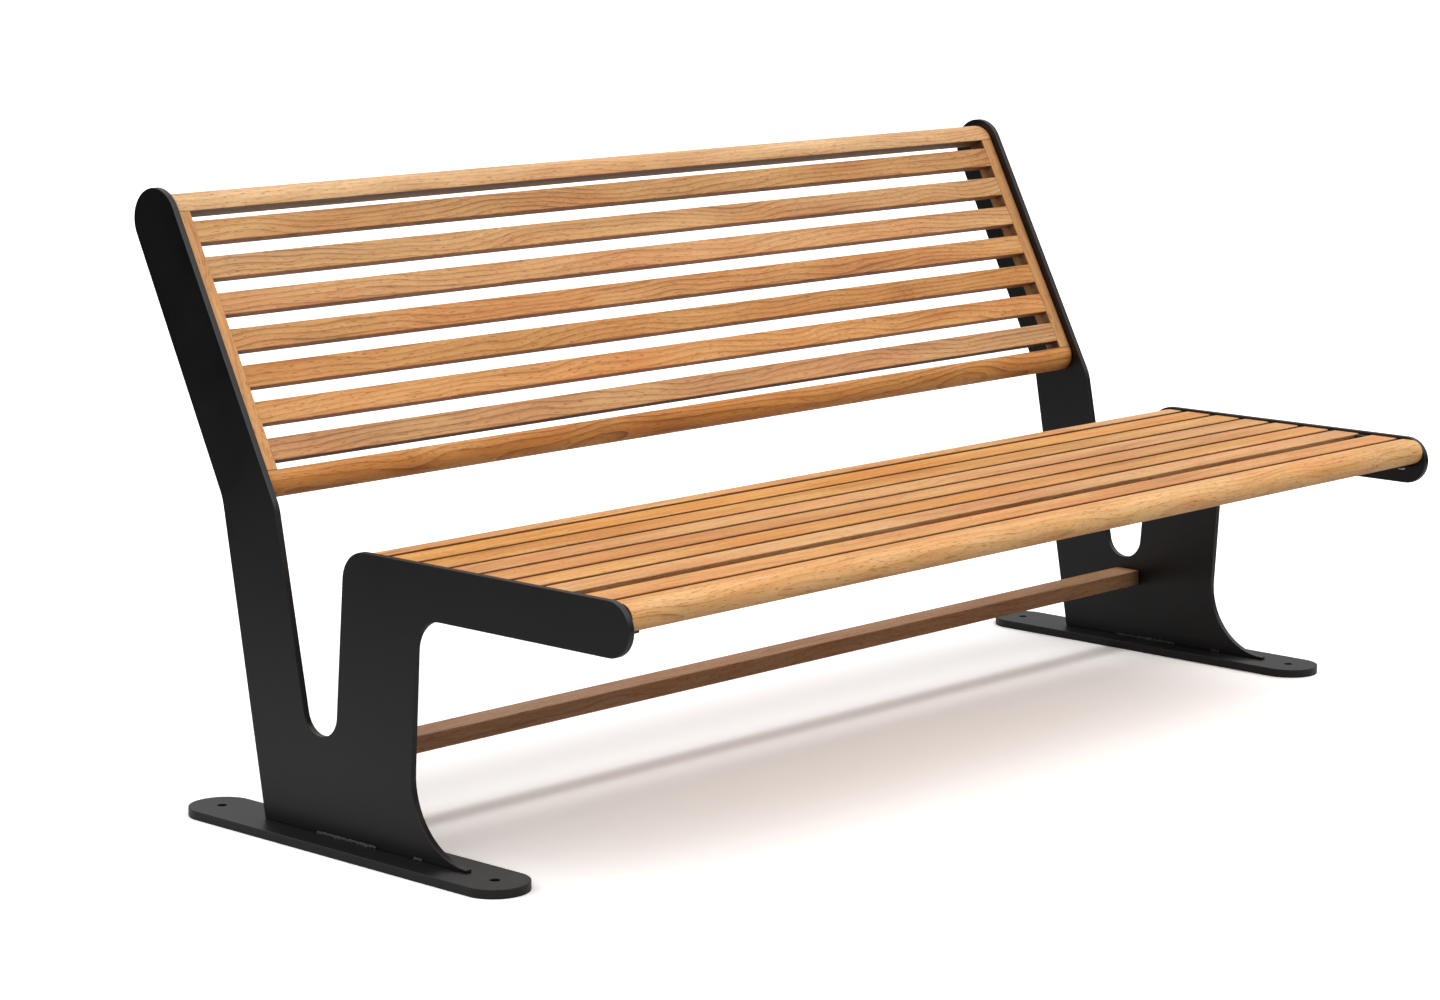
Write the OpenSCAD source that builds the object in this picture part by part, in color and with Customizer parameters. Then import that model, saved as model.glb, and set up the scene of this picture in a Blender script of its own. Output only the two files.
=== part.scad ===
// Park bench: two cut steel side frames on bolt-down foot plates carry a slatted
// hardwood seat, a framed slatted backrest and a low stretcher.
// X runs along the bench, Y from the seat nose to the back, Z up from the ground.
// Side-view places are measured from the heel, the back bottom corner of a side frame.

/* [Overall] */
// Length over the outer faces of the two side frames
bench_length = 1800; // [1200:10:2400]
// Height of the top of the side frames above the ground
bench_height = 875; // [800:1:1000]
// Height of the top edge of the seat arm above the ground
seat_height = 416; // [380:1:500]

/* [Side frame plate] */
// Thickness of the side frame plate
plate_t = 10; // [6:1:16]
// Radius of the rounded top of the upright
top_r = 46; // [38:1:60]
// Setback of the centre of the rounded top behind the heel
top_setback = 212; // [150:1:260]
// Height of the bend in the upright
bend_z = 455; // [430:1:520]
// Setback of the back edge at the bend
bend_back = 78; // [60:1:100]
// Width of the upright at the bend
bend_w = 112; // [90:1:130]
// Radius of the bend on the back edge
bend_r = 70; // [20:5:120]
// Radius of the round bottom of the slot
slot_r = 34; // [20:1:45]
// Distance of the slot centre in front of the heel
slot_forward = 121; // [100:1:140]
// Height of the slot centre
slot_z = 183; // [140:1:230]
// Distance of the rear corner of the seat in front of the heel
seat_rear = 175; // [170:1:200]
// Radius of the rear corner of the seat
seat_corner_r = 44; // [30:1:60]
// Distance of the seat nose in front of the heel
seat_nose = 713.5; // [640:0.5:800]
// Depth of the seat arm, which its nose rounds off
arm_h = 74; // [66:1:90]
// Distance of the corner under the arm in front of the heel
leg_forward = 318; // [290:1:350]
// Radius of the corner under the arm
under_arm_r = 48; // [20:1:80]
// Radius of the flare at the front of the foot
flare_r = 106; // [80:1:130]
// Distance of the toe in front of the heel
toe_forward = 410; // [380:1:440]
// Thickness left at the end of the toe
toe_h = 4; // [2:0.5:8]

/* [Foot plate] */
// Width of the foot plate
foot_w = 95; // [70:1:140]
// Thickness of the foot plate
foot_t = 13; // [6:1:16]
// Distance of the rear anchor hole behind the heel
anchor_rear = 100; // [70:1:130]
// Distance of the front anchor hole in front of the heel
anchor_front = 460; // [440:1:520]
// Diameter of the anchor holes
anchor_d = 14; // [10:1:20]
// Leg length of the fillet welds
weld_leg = 5; // [3:0.5:7]
// Length of the main weld runs
weld_run = 120; // [60:5:200]
// Distance of the middle of the main weld runs in front of the heel
weld_forward = 172; // [120:1:220]
// Length of the short weld at the toe
weld_tack = 14; // [8:1:30]
// Distance of the short weld in front of the heel
weld_tack_forward = 317; // [290:1:350]

/* [Seat] */
// Thickness of the seat slats
seat_slat_t = 38; // [28:1:42]
// Depth of the slat tops below the top edge of the arm
seat_sink = 3.5; // [1:0.5:8]
// Number of flat slats between the rear slat and the nose slat
seat_slats = 7; // [7]
// Gap between seat slats
seat_gap = 11; // [3:0.5:14]
// Wide gap behind the last flat slat
seat_wide_gap = 24; // [6:0.5:30]
// Width of the rear slat
rear_slat_w = 58; // [50:1:70]
// Set-in of the rear and nose slats from the edges of the arm
seat_set_in = 4.5; // [2:0.5:8]
// Radius of the long edges of the flat slats
slat_edge_r = 2; // [1:0.5:5]
// End clearance between the wood and the side frames
end_clear = 1; // [0.5:0.5:3]

/* [Backrest] */
// Set-in of the wood from the front edge of the upright
back_inset = 11; // [6:1:16]
// Thickness of the rails and stiles
frame_t = 28; // [23:1:46]
// Depth of the top rail below the centre of the rounded top
rail_drop = 3; // [1:1:20]
// Height of the bottom rail
bottom_rail_h = 32; // [30:1:50]
// Flat left beside the round on the front lower edge of the bottom rail
bottom_rail_flat = 1; // [1:1:14]
// Distance of the bottom rail above the bend
rail_lift = 24; // [5:1:60]
// Width of the stiles
stile_w = 26; // [22:1:40]
// Number of backrest slats
back_slats = 7; // [7]
// Width of the backrest slats
back_slat_w = 34; // [28:1:40]
// Thickness of the backrest slats
back_slat_t = 18; // [15:1:20]
// Gap between the top rail and the first slat
back_top_gap = 14.5; // [6:0.5:20]
// Gap between the last slat and the bottom rail
back_bottom_gap = 12; // [6:0.5:20]
// Radius of the long edges of the backrest slats and the stretcher
back_edge_r = 1.5; // [1:0.5:4]

/* [Stretcher] */
// Height of the stretcher section
stretcher_h = 25; // [20:1:40]
// Depth of the stretcher section
stretcher_d = 46; // [30:1:60]
// Distance of the middle of the stretcher in front of the heel
stretcher_forward = 132; // [120:1:150]
// Height of the underside of the stretcher
stretcher_z = 105; // [80:1:110]

/* [Brackets and fixings] */
// Thickness of the steel angles
angle_t = 4; // [3:0.5:6]
// Width of the seat bearer under the slats
bearer_w = 32; // [28:1:50]
// Height of the seat bearer against the side frame
bearer_h = 25; // [18:1:30]
// Length over which the front end of the seat bearer tapers
bearer_taper = 88; // [40:1:120]
// Width of the backrest angle behind the stile
back_angle_w = 24; // [18:1:30]
// Depth of the backrest angle against the side frame
back_angle_d = 30; // [20:1:34]
// Length of the steel tongue let into each end of the stretcher
tongue_len = 40; // [32:1:60]
// Depth of the tongue
tongue_d = 32; // [30:1:40]
// Thickness of the tongue
tongue_t = 5; // [4:0.5:8]
// Diameter of the screw shanks
screw_d = 6; // [5:0.5:8]
// Diameter of the screw heads
screw_head_d = 12; // [9:0.5:14]
// Height of the screw heads
screw_head_h = 3.5; // [2:0.5:5]
// Length of the shanks of the seat screws below the head
seat_screw_len = 24; // [16:1:26]
// Wood left over the tips of the backrest and stretcher screws
screw_tip_cover = 2.5; // [2:0.5:5]
// Diameter of the frame dowels
dowel_d = 8; // [6:1:10]
// Length of a frame dowel on each side of its joint
dowel_reach = 22; // [15:1:28]
// Thickness of the slat tenons
tenon_t = 8; // [6:1:10]
// Set-in of each tenon from the edges of its slat
tenon_shoulder = 5; // [3:1:8]
// Length of the slat tenons
tenon_len = 14; // [8:1:18]
// Length of the spacer blocks along the bench
spacer_len = 12; // [8:1:30]
// Depth of the spacer tops below the slat tops
spacer_sink = 1.5; // [0.5:0.5:5]
// Clearance around tenons, dowels, screws and spacers
fit_clear = 0.2; // [0.1:0.05:0.5]

/* [Hidden] */

steel_colour = [0.09, 0.09, 0.10];
wood_colour = [0.72, 0.47, 0.27];
zinc_colour = [0.62, 0.63, 0.64];
beech_colour = [0.80, 0.66, 0.47];
plastic_colour = [0.06, 0.06, 0.06];

curve_fn = 96;
small_fn = 32;
// Length by which a cutter runs past the face it cuts
cut = 1;
// Extra radius with which a round overlaps the straight edges it runs into
blend = 0.01;

// Side frame plate, in side view: [distance behind the heel, height]
heel = [0, foot_t];
top_centre = [top_setback, bench_height - top_r];
bend_back_pt = [bend_back, bend_z];
bend_front_pt = [bend_back - bend_w, bend_z];
slot_centre = [-slot_forward, slot_z];
seat_rear_pt = [-seat_rear, seat_height];
nose_r = arm_h / 2;
nose_centre = [-seat_nose + nose_r, seat_height - nose_r];
under_arm_pt = [-leg_forward, seat_height - arm_h];
flare_centre = [-toe_forward, foot_t + toe_h + flare_r];

// Origin: middle of the depth, between the seat nose and the back of the rounded top
depth_shift = (seat_nose - top_setback - top_r) / 2;
half_length = bench_length / 2;
inner_half = half_length - plate_t;
wood_half = inner_half - end_clear;

// Backrest frame: q runs up along the upright's front edge, p back through the wood
back_lean = lean_of(bend_front_pt, top_centre, top_r);
rail_r = top_r - back_inset;
panel_front = -rail_r;
panel_back = panel_front + frame_t;
upright_run = (top_centre[1] - bend_front_pt[1]) * cos(back_lean)
    + (top_centre[0] - bend_front_pt[0]) * sin(back_lean);
bottom_rail_r = min(frame_t, bottom_rail_h) - bottom_rail_flat;
bottom_rail_top = -(upright_run - rail_lift - bottom_rail_h);
opening_h = -rail_drop - bottom_rail_top;
slats_run = opening_h - back_top_gap - back_bottom_gap;
back_slat_gap = (slats_run - back_slats * back_slat_w) / (back_slats - 1);
back_slat_pitch = back_slat_w + back_slat_gap;
stile_inner = wood_half - stile_w;
stile_mid = wood_half - stile_w / 2;
tenon_mid = panel_front + back_slat_t / 2;
tenon_back = tenon_mid + tenon_t / 2;
dowel_p = (tenon_back + panel_back) / 2;
back_screw_count = 4;
back_angle_margin = 25;
back_angle_run = opening_h - 2 * back_angle_margin;
back_screw_edge = 45;
back_screw_len = angle_t + panel_back - tenon_back - screw_tip_cover;

// Seat: slats lie on the bearers, counted from the rear
slat_top = seat_height - seat_sink;
slat_under = slat_top - seat_slat_t;
rear_slat_back = -seat_rear - seat_set_in;
rear_slat_front = rear_slat_back - rear_slat_w;
nose_slat_r = seat_slat_t / 2;
nose_slat_front = -seat_nose + seat_set_in;
nose_slat_back = nose_slat_front + seat_slat_t;
rear_slat_r = min(seat_corner_r - seat_set_in, seat_slat_t - 2);
seat_run = rear_slat_front - nose_slat_back;
seat_slat_w = (seat_run - seat_slats * seat_gap - seat_wide_gap) / seat_slats;
seat_pitch = seat_slat_w + seat_gap;
bearer_rear = rear_slat_back - 12;
bearer_front = nose_slat_front + nose_slat_r;
seat_screw_x = inner_half - bearer_w / 2 - angle_t / 2;

// Stretcher and its tongues
stretcher_front = -stretcher_forward - stretcher_d / 2;
tongue_z = stretcher_z + (stretcher_h - tongue_t) / 2;
tongue_screw_x = inner_half - tongue_len / 2;
tongue_screw_y = tongue_d / 4;
stretcher_screw_len = stretcher_h - screw_tip_cover - fit_clear;

// ---- Side-view geometry ----

function unit(v) = v / norm(v);

// Angle at p between the ways to a and b
function corner_angle(p, a, b) = acos(unit(a - p) * unit(b - p));

// Point where a corner round of radius r at p leaves the edge towards a
function tangent_pt(p, a, b, r) = p + unit(a - p) * r / tan(corner_angle(p, a, b) / 2);

// Centre of a corner round of radius r at p
function round_centre(p, a, b, r) =
    p + unit(unit(a - p) + unit(b - p)) * r / sin(corner_angle(p, a, b) / 2);

// Point where a line from p touches the circle at c: seen from p, side 1 is its right
function touch_pt(p, c, r, side) =
    let (d = norm(c - p), a = atan2(p[1] - c[1], p[0] - c[0]), t = side * acos(r / d))
    c + r * [cos(a + t), sin(a + t)];

// Lean from upright of the line from p that touches the front of the circle at c
function lean_of(p, c, r) =
    let (t = touch_pt(p, c, r, -1))
    atan2(t[0] - p[0], t[1] - p[1]);

// Rear edge of flat slat i, counted from 1 at the rear; the wide gap comes before the last
function seat_slat_rear_edge(i) =
    rear_slat_front - seat_gap - (i - 1) * seat_pitch
    - (i == seat_slats ? seat_wide_gap - seat_gap : 0);

// Rear edge and width of gap i between seat slats, for gaps 0 (rear) to seat_slats
function gap_rear_edge(i) =
    i == 0 ? rear_slat_front : seat_slat_rear_edge(i) - seat_slat_w;
function gap_width(i) = i == seat_slats - 1 ? seat_wide_gap : seat_gap;

// Top edge of backrest slat i, counted from 1 at the top
function back_slat_top(i) = -rail_drop - back_top_gap - (i - 1) * back_slat_pitch;

// ---- Placing ----

// Extrudes a side-view outline along X from x
module along_bench(x, length) {
    translate([x, depth_shift, 0])
        rotate([90, 0, 90])
            linear_extrude(length)
                children();
}

// Extrudes a side-view outline of the backrest frame along X from x
module along_back(x, length) {
    along_bench(x, length)
        translate(top_centre)
            rotate(-back_lean)
                children();
}

// Places solids in the backrest frame: X along the bench, Y back (p), Z up (q)
module in_back_frame() {
    translate([0, depth_shift + top_centre[0], top_centre[1]])
        rotate([-back_lean, 0, 0])
            children();
}

// Places solids in the side-view frame
module in_side_frame() {
    translate([0, depth_shift, 0])
        children();
}

// Draws the left piece as it is and the right piece as its mirror image
module on_side(side) {
    mirror([side > 0 ? 1 : 0, 0, 0])
        children();
}

// Rectangle with four rounded corners
module soft_rect(size, r) {
    translate([r, 0]) square([size[0] - 2 * r, size[1]]);
    translate([0, r]) square([size[0], size[1] - 2 * r]);
    for (x = [r, size[0] - r], y = [r, size[1] - r])
        translate([x, y]) circle(r, $fn = small_fn);
}

// ---- Steelwork ----

// Round of the bend on the front of the upright, which bulges towards the seat
module front_bend_round(above, below) {
    centre = round_centre(bend_front_pt, above, below, bend_r);
    upper = tangent_pt(bend_front_pt, above, below, bend_r);
    lower = tangent_pt(bend_front_pt, below, above, bend_r);
    intersection() {
        translate(centre) circle(bend_r + blend, $fn = curve_fn);
        polygon([centre, upper, bend_front_pt, lower]);
    }
}

// Outline of a side frame; corners are cut straight here and rounded by circles
module side_frame_outline() {
    back_top = touch_pt(bend_back_pt, top_centre, top_r, 1);
    front_top = touch_pt(bend_front_pt, top_centre, top_r, -1);
    slot_rear_side = touch_pt(bend_front_pt, slot_centre, slot_r, -1);
    slot_front_side = touch_pt(seat_rear_pt, slot_centre, slot_r, 1);
    nose_top = [nose_centre[0], seat_height];
    nose_under = [nose_centre[0], seat_height - arm_h];
    flare_top = touch_pt(under_arm_pt, flare_centre, flare_r, -1);
    toe_top = flare_centre - [0, flare_r];
    difference() {
        union() {
            polygon([
                heel,
                tangent_pt(bend_back_pt, heel, back_top, bend_r),
                tangent_pt(bend_back_pt, back_top, heel, bend_r),
                back_top,
                front_top,
                tangent_pt(bend_front_pt, front_top, slot_rear_side, bend_r),
                tangent_pt(bend_front_pt, slot_rear_side, front_top, bend_r),
                slot_rear_side,
                slot_front_side,
                tangent_pt(seat_rear_pt, slot_front_side, nose_top, seat_corner_r),
                tangent_pt(seat_rear_pt, nose_top, slot_front_side, seat_corner_r),
                nose_top,
                nose_under,
                tangent_pt(under_arm_pt, nose_under, flare_top, under_arm_r),
                tangent_pt(under_arm_pt, flare_top, nose_under, under_arm_r),
                flare_top,
                toe_top,
                [toe_top[0], foot_t]
            ]);
            translate(top_centre) circle(top_r + blend, $fn = curve_fn);
            translate(nose_centre) circle(nose_r + blend, $fn = curve_fn);
            translate(round_centre(seat_rear_pt, slot_front_side, nose_top, seat_corner_r))
                circle(seat_corner_r + blend, $fn = curve_fn);
            front_bend_round(front_top, slot_rear_side);
        }
        translate(slot_centre) circle(slot_r + blend, $fn = curve_fn);
        translate(flare_centre) circle(flare_r + blend, $fn = curve_fn);
        translate(round_centre(under_arm_pt, nose_under, flare_top, under_arm_r))
            circle(under_arm_r + blend, $fn = curve_fn);
        translate(round_centre(bend_back_pt, heel, back_top, bend_r))
            circle(bend_r + blend, $fn = curve_fn);
    }
}

module side_frame(side) {
    color(steel_colour)
        on_side(side)
            along_bench(-half_length, plate_t)
                side_frame_outline();
}

// Foot plate with round ends, centred under the side frame, and its two anchor holes
module foot_plate(side) {
    mid = -half_length + plate_t / 2;
    color(steel_colour)
        on_side(side)
            in_side_frame()
                difference() {
                    union() {
                        translate([mid - foot_w / 2, -anchor_front, 0])
                            cube([foot_w, anchor_front + anchor_rear, foot_t]);
                        for (y = [anchor_rear, -anchor_front])
                            translate([mid, y, 0]) cylinder(foot_t, d = foot_w, $fn = curve_fn);
                    }
                    for (y = [anchor_rear, -anchor_front])
                        translate([mid, y, -cut])
                            cylinder(foot_t + 2 * cut, d = anchor_d, $fn = small_fn);
                }
}

// Fillet weld bead in the corner between foot plate and side frame; way -1 outside, 1 inside
module weld_bead(x, y, length, way) {
    translate([x, y + length / 2, foot_t])
        rotate([90, 0, 0])
            linear_extrude(length)
                polygon([[0, 0], [way * weld_leg, 0], [0, weld_leg]]);
}

module welds(side) {
    outer = -half_length;
    inner = -inner_half;
    color(steel_colour)
        on_side(side)
            in_side_frame() {
                weld_bead(outer, -weld_forward, weld_run, -1);
                weld_bead(inner, -weld_forward, weld_run, 1);
                weld_bead(outer, -weld_tack_forward, weld_tack, -1);
                weld_bead(inner, -weld_tack_forward, weld_tack, 1);
            }
}

// ---- Seat ----

// Rear slat, with the rounded rear corner of the arm carried along it
module seat_slat_rear() {
    color(wood_colour)
        difference() {
            along_bench(-wood_half, 2 * wood_half)
                translate([rear_slat_front, slat_under]) {
                    square([rear_slat_w, seat_slat_t - rear_slat_r]);
                    square([rear_slat_w - rear_slat_r, seat_slat_t]);
                    translate([rear_slat_w - rear_slat_r, seat_slat_t - rear_slat_r])
                        intersection() {
                            circle(rear_slat_r, $fn = curve_fn);
                            square(rear_slat_r + cut);
                        }
                }
            seat_slat_bores();
        }
}

module seat_slat(i) {
    color(wood_colour)
        difference() {
            along_bench(-wood_half, 2 * wood_half)
                translate([seat_slat_rear_edge(i) - seat_slat_w, slat_under])
                    soft_rect([seat_slat_w, seat_slat_t], slat_edge_r);
            seat_slat_bores();
        }
}

// Nose slat, fully rounded at the front
module seat_slat_nose() {
    color(wood_colour)
        difference() {
            along_bench(-wood_half, 2 * wood_half)
                translate([nose_slat_front + nose_slat_r, slat_under]) {
                    square([nose_slat_r, seat_slat_t]);
                    translate([0, nose_slat_r]) circle(nose_slat_r, $fn = curve_fn);
                }
            seat_slat_bores();
        }
}

// Angle under the slat ends, welded to the inner face of the side frame; the leg against
// the side frame tapers away towards the nose
module seat_bearer(side) {
    run = bearer_rear - bearer_front;
    color(steel_colour)
        on_side(side)
            difference() {
                union() {
                    along_bench(-inner_half, bearer_w)
                        translate([bearer_front, slat_under - angle_t])
                            square([run, angle_t]);
                    along_bench(-inner_half, angle_t)
                        translate([bearer_front, slat_under])
                            polygon([
                                [0, 0],
                                [run, 0],
                                [run, -bearer_h],
                                [bearer_taper, -bearer_h],
                                [0, -angle_t]
                            ]);
                }
                seat_screw_places()
                    screw_bore(seat_screw_len);
            }
}

// Screw places under the left ends of the seat slats, at the underside of the bearer
module seat_screw_places() {
    mids = concat(
        [rear_slat_back - rear_slat_w / 2, nose_slat_back - nose_slat_r / 2 - 2],
        [for (i = [1 : seat_slats]) seat_slat_rear_edge(i) - seat_slat_w / 2]
    );
    for (y = mids)
        in_side_frame()
            translate([-seat_screw_x, y, slat_under - angle_t])
                children();
}

// Screw pointing up, with its head below the origin and its shank above
module screw_up(length) {
    translate([0, 0, -screw_head_h]) cylinder(screw_head_h, d = screw_head_d, $fn = small_fn);
    cylinder(length, d = screw_d, $fn = small_fn);
}

// Bore that takes the shank of a screw pointing up, opened a little at the head
module screw_bore(length) {
    translate([0, 0, -cut])
        cylinder(cut + length + fit_clear, d = screw_d + 2 * fit_clear, $fn = small_fn);
}

module seat_screws(side) {
    color(zinc_colour)
        on_side(side)
            seat_screw_places()
                screw_up(seat_screw_len);
}

// Screw bores in the undersides of the seat slats, at both ends
module seat_slat_bores() {
    for (side = [-1, 1])
        on_side(side)
            seat_screw_places()
                screw_bore(seat_screw_len);
}

// Spacer blocks that stand on the bearer and keep the gaps between the slat ends
module seat_spacers(side) {
    color(plastic_colour)
        on_side(side)
            in_side_frame()
                for (i = [0 : seat_slats])
                    translate([-wood_half, gap_rear_edge(i) - gap_width(i) + fit_clear, slat_under])
                        cube([
                            spacer_len,
                            gap_width(i) - 2 * fit_clear,
                            seat_slat_t - spacer_sink
                        ]);
}

// ---- Backrest ----

// Rail that rounds over the top, concentric with the rounded top of the side frames
module back_top_rail() {
    color(wood_colour)
        difference() {
            along_back(-wood_half, 2 * wood_half)
                intersection() {
                    union() {
                        circle(rail_r, $fn = curve_fn);
                        translate([panel_front, -rail_drop]) square([frame_t, rail_drop]);
                    }
                    translate([panel_front, -rail_drop])
                        square([frame_t, rail_drop + rail_r + cut]);
                }
            dowel_bores();
        }
}

// Bottom rail with a large round along its front lower edge
module back_bottom_rail() {
    color(wood_colour)
        difference() {
            along_back(-wood_half, 2 * wood_half)
                translate([panel_front, bottom_rail_top - bottom_rail_h]) {
                    translate([bottom_rail_r, 0])
                        square([frame_t - bottom_rail_r, bottom_rail_h]);
                    translate([0, bottom_rail_r])
                        square([frame_t, bottom_rail_h - bottom_rail_r]);
                    intersection() {
                        translate([bottom_rail_r, bottom_rail_r])
                            circle(bottom_rail_r, $fn = curve_fn);
                        square(bottom_rail_r);
                    }
                }
            dowel_bores();
        }
}

// Stile between the rails, mortised for the slats and bored for dowels and screws
module back_stile(side) {
    color(wood_colour)
        difference() {
            on_side(side)
                in_back_frame()
                    translate([-wood_half, panel_front, bottom_rail_top])
                        cube([stile_w, frame_t, opening_h]);
            dowel_bores();
            for (i = [1 : back_slats])
                slat_tenons(i, fit_clear);
            on_side(side)
                back_screw_places()
                    screw_bore(back_screw_len);
        }
}

// The tenons of slat i, grown all round by grow; they run through the slat as one bar
module slat_tenons(i, grow) {
    reach = stile_inner + tenon_len + grow;
    in_back_frame()
        translate([
            -reach,
            tenon_mid - tenon_t / 2 - grow,
            back_slat_top(i) - back_slat_w + tenon_shoulder - grow
        ])
            cube([
                2 * reach,
                tenon_t + 2 * grow,
                back_slat_w - 2 * tenon_shoulder + 2 * grow
            ]);
}

// Slat between the stiles, flush with their front, with a tenon at each end
module back_slat(i) {
    color(wood_colour)
        union() {
            along_back(-stile_inner, 2 * stile_inner)
                translate([panel_front, back_slat_top(i) - back_slat_w])
                    soft_rect([back_slat_t, back_slat_w], back_edge_r);
            slat_tenons(i, 0);
        }
}

// The four rail joints, one at each end of each stile
module dowel_places() {
    for (x = [-stile_mid, stile_mid], q = [-rail_drop, bottom_rail_top])
        in_back_frame()
            translate([x, dowel_p, q])
                children();
}

module dowel_bores() {
    dowel_places()
        translate([0, 0, -dowel_reach - fit_clear])
            cylinder(2 * (dowel_reach + fit_clear), d = dowel_d + 2 * fit_clear, $fn = small_fn);
}

module back_frame_dowels() {
    color(beech_colour)
        dowel_places()
            translate([0, 0, -dowel_reach])
                cylinder(2 * dowel_reach, d = dowel_d, $fn = small_fn);
}

// Screw places on the back of the left stile, at the face of the backrest angle
module back_screw_places() {
    first = -rail_drop - back_angle_margin - back_screw_edge;
    step = (back_angle_run - 2 * back_screw_edge) / (back_screw_count - 1);
    for (k = [0 : back_screw_count - 1])
        in_back_frame()
            translate([-stile_mid, panel_back + angle_t, first - k * step])
                rotate([90, 0, 0])
                    children();
}

// Angle behind the stile, welded to the inner face of the side frame
module back_angle(side) {
    color(steel_colour)
        on_side(side)
            difference() {
                in_back_frame()
                    translate([-inner_half, panel_back, bottom_rail_top + back_angle_margin]) {
                        cube([back_angle_w, angle_t, back_angle_run]);
                        cube([angle_t, back_angle_d, back_angle_run]);
                    }
                back_screw_places()
                    screw_bore(back_screw_len);
            }
}

module back_screws(side) {
    color(zinc_colour)
        on_side(side)
            back_screw_places()
                screw_up(back_screw_len);
}

// ---- Stretcher ----

// Flat bar between the side frames, below the slots, slotted at each end for a tongue
module stretcher() {
    color(wood_colour)
        difference() {
            along_bench(-wood_half, 2 * wood_half)
                translate([stretcher_front, stretcher_z])
                    soft_rect([stretcher_d, stretcher_h], back_edge_r);
            for (side = [-1, 1])
                on_side(side) {
                    tongue_bar(fit_clear);
                    stretcher_screw_places()
                        screw_bore(stretcher_screw_len);
                }
        }
}

// The left tongue as a plain bar, grown all round by grow
module tongue_bar(grow) {
    in_side_frame()
        translate([
            -inner_half - grow,
            -stretcher_forward - tongue_d / 2 - grow,
            tongue_z - grow
        ])
            cube([tongue_len + 2 * grow, tongue_d + 2 * grow, tongue_t + 2 * grow]);
}

// Two screw places under the left end of the stretcher, at its underside
module stretcher_screw_places() {
    for (y = [-tongue_screw_y, tongue_screw_y])
        in_side_frame()
            translate([-tongue_screw_x, -stretcher_forward + y, stretcher_z])
                children();
}

// Steel tongue in the slotted end of the stretcher, welded to the side frame
module stretcher_tongue(side) {
    color(steel_colour)
        on_side(side)
            difference() {
                tongue_bar(0);
                stretcher_screw_places()
                    screw_bore(stretcher_screw_len);
            }
}

module stretcher_screws(side) {
    color(zinc_colour)
        on_side(side)
            stretcher_screw_places()
                screw_up(stretcher_screw_len);
}

side_frame(-1);  // side_frame_left
side_frame(1);  // side_frame_right
foot_plate(-1);  // foot_plate_left
foot_plate(1);  // foot_plate_right
welds(-1);  // welds_left
welds(1);  // welds_right
seat_slat_rear();
seat_slat(1);  // seat_slat_1
seat_slat(2);  // seat_slat_2
seat_slat(3);  // seat_slat_3
seat_slat(4);  // seat_slat_4
seat_slat(5);  // seat_slat_5
seat_slat(6);  // seat_slat_6
seat_slat(7);  // seat_slat_7
seat_slat_nose();
seat_bearer(-1);  // seat_bearer_left
seat_bearer(1);  // seat_bearer_right
seat_spacers(-1);  // seat_spacers_left
seat_spacers(1);  // seat_spacers_right
seat_screws(-1);  // seat_screws_left
seat_screws(1);  // seat_screws_right
back_top_rail();
back_bottom_rail();
back_stile(-1);  // back_stile_left
back_stile(1);  // back_stile_right
back_slat(1);  // back_slat_1
back_slat(2);  // back_slat_2
back_slat(3);  // back_slat_3
back_slat(4);  // back_slat_4
back_slat(5);  // back_slat_5
back_slat(6);  // back_slat_6
back_slat(7);  // back_slat_7
back_frame_dowels();
back_angle(-1);  // back_angle_left
back_angle(1);  // back_angle_right
back_screws(-1);  // back_screws_left
back_screws(1);  // back_screws_right
stretcher();
stretcher_tongue(-1);  // stretcher_tongue_left
stretcher_tongue(1);  // stretcher_tongue_right
stretcher_screws(-1);  // stretcher_screws_left
stretcher_screws(1);  // stretcher_screws_right
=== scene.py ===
import math
import random

import bpy
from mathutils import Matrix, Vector


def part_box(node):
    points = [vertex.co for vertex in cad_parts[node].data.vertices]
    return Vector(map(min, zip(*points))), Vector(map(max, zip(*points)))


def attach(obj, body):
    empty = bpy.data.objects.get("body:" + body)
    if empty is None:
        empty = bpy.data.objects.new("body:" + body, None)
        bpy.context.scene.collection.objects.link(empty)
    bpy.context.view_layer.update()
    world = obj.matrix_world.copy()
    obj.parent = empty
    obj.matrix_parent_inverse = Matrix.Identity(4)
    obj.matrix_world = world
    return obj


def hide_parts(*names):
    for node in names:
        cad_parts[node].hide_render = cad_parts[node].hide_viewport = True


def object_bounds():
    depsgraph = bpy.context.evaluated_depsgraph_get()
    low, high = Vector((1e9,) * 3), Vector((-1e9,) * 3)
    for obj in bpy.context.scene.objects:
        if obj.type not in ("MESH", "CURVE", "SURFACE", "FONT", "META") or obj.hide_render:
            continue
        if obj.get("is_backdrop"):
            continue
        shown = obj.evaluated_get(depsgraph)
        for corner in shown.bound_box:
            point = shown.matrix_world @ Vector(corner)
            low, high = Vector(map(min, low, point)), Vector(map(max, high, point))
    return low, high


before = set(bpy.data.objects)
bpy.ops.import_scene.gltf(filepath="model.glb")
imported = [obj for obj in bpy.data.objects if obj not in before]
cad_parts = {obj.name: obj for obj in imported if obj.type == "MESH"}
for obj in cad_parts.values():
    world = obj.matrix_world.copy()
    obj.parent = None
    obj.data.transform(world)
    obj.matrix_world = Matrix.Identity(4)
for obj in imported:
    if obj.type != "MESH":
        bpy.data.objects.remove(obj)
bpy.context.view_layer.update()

MM = 0.001

# ---------------------------------------------------------------- Foot plates
# Each side frame stands on a 13 mm steel plate with round ends and a hole near each end
# for a ground anchor. The plate is laser cut, its edges are eased, and it is powder
# coated black together with the frame that is welded on it.
FOOT_EDGE = 0.9 * MM
FINE_SEGMENTS = 3
SHARP_ANGLE = 32
MERGE_TOLERANCE = 0.01 * MM
FLAT_TOLERANCE = 0.5

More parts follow.
